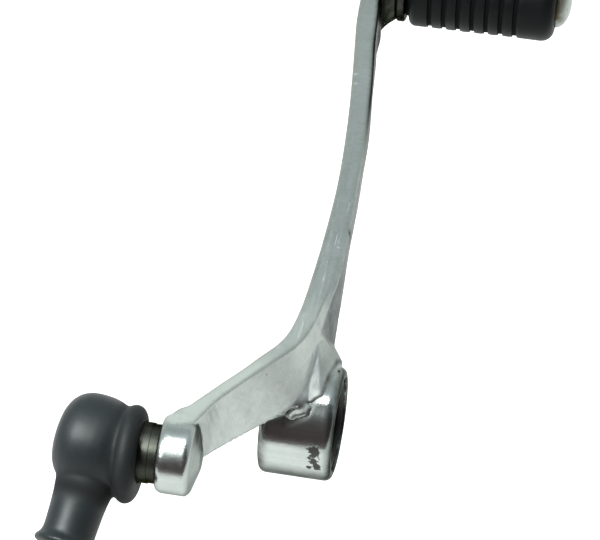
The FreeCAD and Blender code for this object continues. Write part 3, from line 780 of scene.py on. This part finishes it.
NODE_MATERIALS = {
    # pivot_collar is near black as painted shade inside the boss's bore; toe_washer is near black steel
    "pivot_collar": BLACK_STEEL_AND_SHADE, "pivot_bush_outer": BUSH, "pivot_bush_inner": BUSH,
    "dust_seal_outer": SEAL_RUBBER, "dust_seal_inner": SEAL_RUBBER, "toe_washer": BLACK_STEEL_AND_SHADE,
    "ball_stud": DARK, "stud_lock_washer": DARK, "joint_housing": PLATED, "ball_seat_front": SEAT,
    "ball_seat_rear": SEAT, "preload_spring": PLATED, "housing_plug": PLATED, "boot_ring": PLATED,
}
for node, material in NODE_MATERIALS.items():
    for holder in frame["nodes"][node].material_slots:
        holder.material = material


# ---------------------------------------------------------------- floor, lights and camera

def floor():
    bm = bmesh.new()
    bmesh.ops.create_grid(bm, x_segments=2, y_segments=2, size=1.6)
    mesh = bpy.data.meshes.new("floor")
    bm.to_mesh(mesh)
    bm.free()
    obj = link("floor", mesh)
    obj.location.z = FLOOR_Z
    s = Shader("floor_paper")
    shade = s.noise(6, 3)
    s.set(Base_Color=s.mix(shade, colour(0.22, 0.22, 0.217), colour(0.24, 0.24, 0.237)))
    s.set(Roughness=0.9, Emission_Strength=0.995)
    s.surface.inputs["Emission Color"].default_value = colour(0.99, 1.0, 0.99)
    obj.data.materials.append(s.material)


def world():
    """A studio that is bright overhead and behind the part, and dim in front."""
    w = bpy.data.worlds.new("studio")
    bpy.context.scene.world = w
    w.use_nodes = True
    tree = w.node_tree
    add = tree.nodes.new
    place, split = add("ShaderNodeTexCoord"), add("ShaderNodeSeparateXYZ")
    flip, turn = add("ShaderNodeMath"), add("ShaderNodeMath")
    flip.operation, flip.inputs[1].default_value = "MULTIPLY", -1.0
    turn.operation = "ARCTAN2"
    share, ramp = add("ShaderNodeMath"), add("ShaderNodeValToRGB")
    share.operation, share.inputs[1].default_value = "DIVIDE", math.pi
    tree.links.new(place.outputs["Generated"], split.inputs[0])
    tree.links.new(split.outputs[1], flip.inputs[0])
    tree.links.new(split.outputs[2], turn.inputs[0])
    tree.links.new(flip.outputs[0], turn.inputs[1])
    tree.links.new(turn.outputs[0], share.inputs[0])
    tree.links.new(share.outputs[0], ramp.inputs[0])
    tree.links.new(ramp.outputs[0], tree.nodes["Background"].inputs[0])
    # (degrees from the front horizon over the top to the back horizon, colour)
    stops = [(0, (0.20, 0.17, 0.17)), (12, (0.095, 0.072, 0.074)), (60, (0.085, 0.078, 0.080)),
             (84, (0.16, 0.17, 0.18)), (106, (0.74, 0.82, 0.88)), (143, (0.56, 0.63, 0.62)),
             (157, (0.79, 0.88, 0.89)), (180, (1.00, 1.04, 1.00))]
    ramp.color_ramp.interpolation = "EASE"
    while len(ramp.color_ramp.elements) < len(stops):
        ramp.color_ramp.elements.new(0.5)
    for element, (angle, rgb) in zip(ramp.color_ramp.elements, stops):
        element.position = angle / 180
        element.color = colour(*rgb)
    tree.nodes["Background"].inputs[1].default_value = 1.0


def softbox(name, place, aim, size, watts, rgb=(1, 1, 1)):
    light = bpy.data.lights.new(name, "AREA")
    light.shape, light.size, light.size_y = "RECTANGLE", size[0], size[1]
    light.energy, light.color = watts, rgb
    obj = bpy.data.objects.new(name, light)
    obj.location = place
    obj.rotation_euler = (Vector(aim) - Vector(place)).to_track_quat("-Z", "Y").to_euler()
    bpy.context.scene.collection.objects.link(obj)


def camera():
    data = bpy.data.cameras.new("camera")
    data.sensor_width, data.lens = 36.0, 182.55
    data.clip_start, data.clip_end = 0.02, 20
    obj = bpy.data.objects.new("camera", data)
    obj.location = (0.06802, -0.36891, 0.49364)
    obj.rotation_euler = (math.radians(40.04), 0, math.radians(10.54))
    bpy.context.scene.collection.objects.link(obj)
    bpy.context.scene.camera = obj


floor()
world()
softbox("key_overhead", (-0.105, 0.10, 0.75), (0, 0.03, 0), (0.11, 0.13), 1.1, (0.97, 0.99, 1.0))
softbox("fill_left", (-0.36, -0.20, 0.68), (-0.03, -0.02, 0.01), (0.20, 0.20), 17.0, (0.92, 0.98, 0.97))
camera()
bpy.context.scene.view_settings.view_transform = "Standard"
